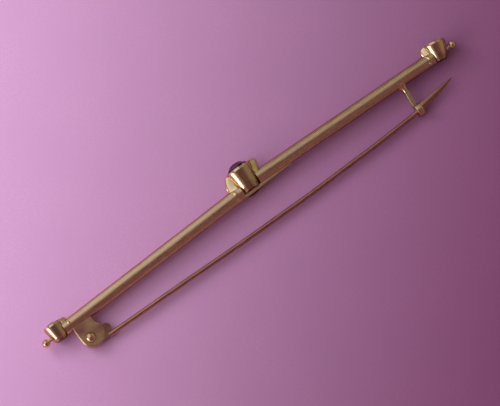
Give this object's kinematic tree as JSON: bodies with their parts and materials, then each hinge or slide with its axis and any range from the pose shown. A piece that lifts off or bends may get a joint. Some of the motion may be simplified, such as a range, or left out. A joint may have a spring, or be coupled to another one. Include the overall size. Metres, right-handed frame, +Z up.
{
  "type": "bar brooch",
  "caption": "Gold bar brooch with round amethysts in open-backed collets, ball ends and a hinged pin that closes in a hook, lying on its side.",
  "frame": {"origin": "centre of the bounding box, on the surface the brooch lies on", "axes": "+X along the bar from the hinge end to the catch end, +Y the way the stones face (the pin is on the -Y side), +Z up"},
  "size_m": [0.064, 0.009, 0.0034],
  "materials": {
    "gold": "polished",
    "amethyst": "faceted and polished"
  },
  "bodies": {
    "brooch": {"frame": "gold", "centre_amethyst": "amethyst", "hinge_end_amethyst": "amethyst", "catch_end_amethyst": "amethyst", "hinge_rivet": "gold"},
    "pin": {"pin_stem": "gold"}
  },
  "joints": [
    {"name": "pin_swing", "type": "hinge", "parent": "brooch", "child": "pin", "pos_m": [-0.02675, -0.00226, 0.0009], "axis": [0, 0.132, -0.9913], "range_deg": [0, 95]}
  ]
}
